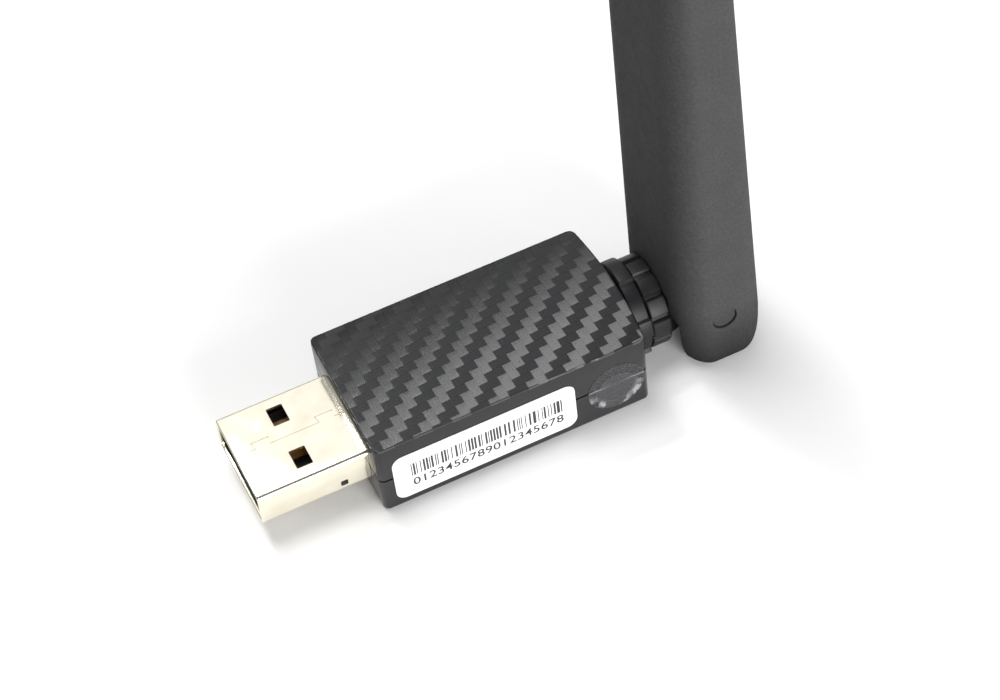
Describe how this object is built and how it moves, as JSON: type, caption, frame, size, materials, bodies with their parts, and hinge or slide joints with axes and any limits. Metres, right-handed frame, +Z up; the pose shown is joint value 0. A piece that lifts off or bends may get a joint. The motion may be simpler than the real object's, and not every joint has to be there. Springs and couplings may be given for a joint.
{
  "type": "usb wifi adapter",
  "caption": "USB stick wireless adapter with a flat rectangular case, a carbon-weave top and a paddle antenna on a swivel and fold joint.",
  "frame": {"origin": "centre of the flat underside of the case", "axes": "+X from the USB plug towards the antenna, +Y across the case away from the label, +Z up along the raised antenna"},
  "size_m": [0.0585, 0.0175, 0.09],
  "materials": {
    "plug_metal": "satin nickel plate",
    "black_plastic": "matt",
    "gold_plate": "polished",
    "case_plastic": "fine satin texture",
    "carbon_film": "twill weave under clear gloss",
    "label_film": "smooth",
    "clear_film": "clear gloss",
    "board_resist": "solder resist",
    "chip_black": "matt",
    "spring_metal": "satin",
    "ceramic": "matt",
    "cord_jacket": "smooth",
    "hinge_plastic": "satin",
    "paddle_plastic": "fine soft-touch grain",
    "copper": "satin",
    "foam": "open cell"
  },
  "bodies": {
    "stick": {"usb_shell": "plug_metal", "usb_tongue": "black_plastic", "contact_supply": "gold_plate", "contact_data_minus": "gold_plate", "contact_data_plus": "gold_plate", "contact_ground": "gold_plate", "lower_shell": "case_plastic", "upper_shell": "case_plastic", "top_plate": "carbon_film", "serial_label": "label_film", "clear_seal": "clear_film", "main_board": "board_resist", "wifi_chip": "chip_black", "shield_can": "spring_metal", "crystal": "spring_metal", "voltage_regulator": "chip_black", "power_inductor": "chip_black", "input_capacitor": "ceramic", "output_capacitor": "ceramic", "front_end_chip": "chip_black", "band_filter": "ceramic", "coax_socket": "gold_plate", "coax_plug": "spring_metal", "coax_board_run": "cord_jacket", "swivel_bush": "hinge_plastic"},
    "swivel": {"knuckle": "hinge_plastic", "retaining_clip": "spring_metal", "friction_washer": "black_plastic", "coax_knuckle_run": "cord_jacket"},
    "paddle": {"antenna_sheath": "paddle_plastic", "antenna_tip_cap": "paddle_plastic", "hinge_pin_label_side": "paddle_plastic", "hinge_pin_far_side": "paddle_plastic", "antenna_board": "board_resist", "dipole_lower_arm": "copper", "dipole_upper_arm": "copper", "coax_antenna_run": "cord_jacket", "foam_pad": "foam"}
  },
  "joints": [
    {"name": "antenna_swivel", "type": "hinge", "parent": "stick", "child": "swivel", "pos_m": [0.0163, 0, 0.00515], "axis": [1, 0, 0], "range_deg": [-90, 90]},
    {"name": "antenna_fold", "type": "hinge", "parent": "swivel", "child": "paddle", "pos_m": [0.025, 0, 0.00755], "axis": [0, 1, 0], "range_deg": [0, 90]}
  ]
}
